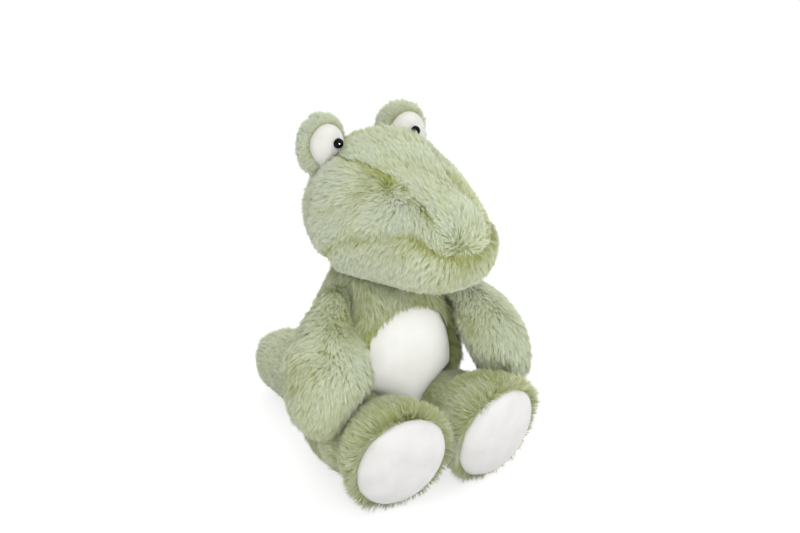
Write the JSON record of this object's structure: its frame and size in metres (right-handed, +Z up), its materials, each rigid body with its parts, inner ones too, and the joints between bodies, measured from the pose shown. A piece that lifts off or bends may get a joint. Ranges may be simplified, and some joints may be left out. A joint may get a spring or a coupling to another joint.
{
  "type": "plush crocodile",
  "caption": "Sitting plush crocodile with long pale-green pile, white belly, soles and eye faces, and soft jointed head, limbs and tail.",
  "frame": {"origin": "on the flat seat, under the middle of the body, on the floor", "axes": "+Z up; the toy faces -Y, its left side is +X"},
  "size_m": [0.212, 0.2919, 0.2863],
  "materials": {
    "long_pile": "long combed pile, pale grey-green",
    "short_pile": "short white pile",
    "fibre_filling": "loose white fibre",
    "eye_black": "polished black",
    "eye_washer": "plain moulded"
  },
  "bodies": {
    "body": {"body_cover": "long_pile", "belly_panel": "short_pile", "body_filling": "fibre_filling"},
    "head": {"head_gusset": "long_pile", "head_side_left": "long_pile", "head_side_right": "long_pile", "jaw_panel": "long_pile", "head_filling": "fibre_filling", "eye_mound_left": "long_pile", "eye_mound_right": "long_pile", "eye_face_left": "short_pile", "eye_face_right": "short_pile", "eye_filling_left": "fibre_filling", "eye_filling_right": "fibre_filling", "eye_bead_left": "eye_black", "eye_bead_right": "eye_black", "eye_washer_left": "eye_washer", "eye_washer_right": "eye_washer"},
    "arm_left": {"arm_outer_left": "long_pile", "arm_inner_left": "long_pile", "arm_filling_left": "fibre_filling"},
    "arm_right": {"arm_outer_right": "long_pile", "arm_inner_right": "long_pile", "arm_filling_right": "fibre_filling"},
    "leg_left": {"leg_cover_left": "long_pile", "sole_left": "short_pile", "leg_filling_left": "fibre_filling"},
    "leg_right": {"leg_cover_right": "long_pile", "sole_right": "short_pile", "leg_filling_right": "fibre_filling"},
    "tail": {"tail_left": "long_pile", "tail_right": "long_pile", "tail_filling": "fibre_filling"}
  },
  "joints": [
    {"name": "head_turn", "type": "hinge", "parent": "body", "child": "head", "pos_m": [0, 0, 0.171], "axis": [0, 0, 1], "range_deg": [-20, 20], "stiffness_Nm_per_rad": 0.4},
    {"name": "arm_lift_left", "type": "hinge", "parent": "body", "child": "arm_left", "pos_m": [0.046, -0.008, 0.145], "axis": [-0.6428, -0.766, 0], "range_deg": [0, 48], "stiffness_Nm_per_rad": 0.3},
    {"name": "arm_lift_right", "type": "hinge", "parent": "body", "child": "arm_right", "pos_m": [-0.046, -0.008, 0.145], "axis": [-0.6428, 0.766, 0], "range_deg": [0, 48], "stiffness_Nm_per_rad": 0.3},
    {"name": "leg_lift_left", "type": "hinge", "parent": "body", "child": "leg_left", "pos_m": [0.042, -0.04, 0.043], "axis": [-1, 0, 0], "range_deg": [0, 12], "stiffness_Nm_per_rad": 0.4},
    {"name": "leg_lift_right", "type": "hinge", "parent": "body", "child": "leg_right", "pos_m": [-0.042, -0.04, 0.043], "axis": [-1, 0, 0], "range_deg": [0, 12], "stiffness_Nm_per_rad": 0.4},
    {"name": "tail_wag", "type": "hinge", "parent": "body", "child": "tail", "pos_m": [0, 0.058, 0.033], "axis": [0, 0, 1], "range_deg": [-20, 20], "stiffness_Nm_per_rad": 0.3}
  ]
}
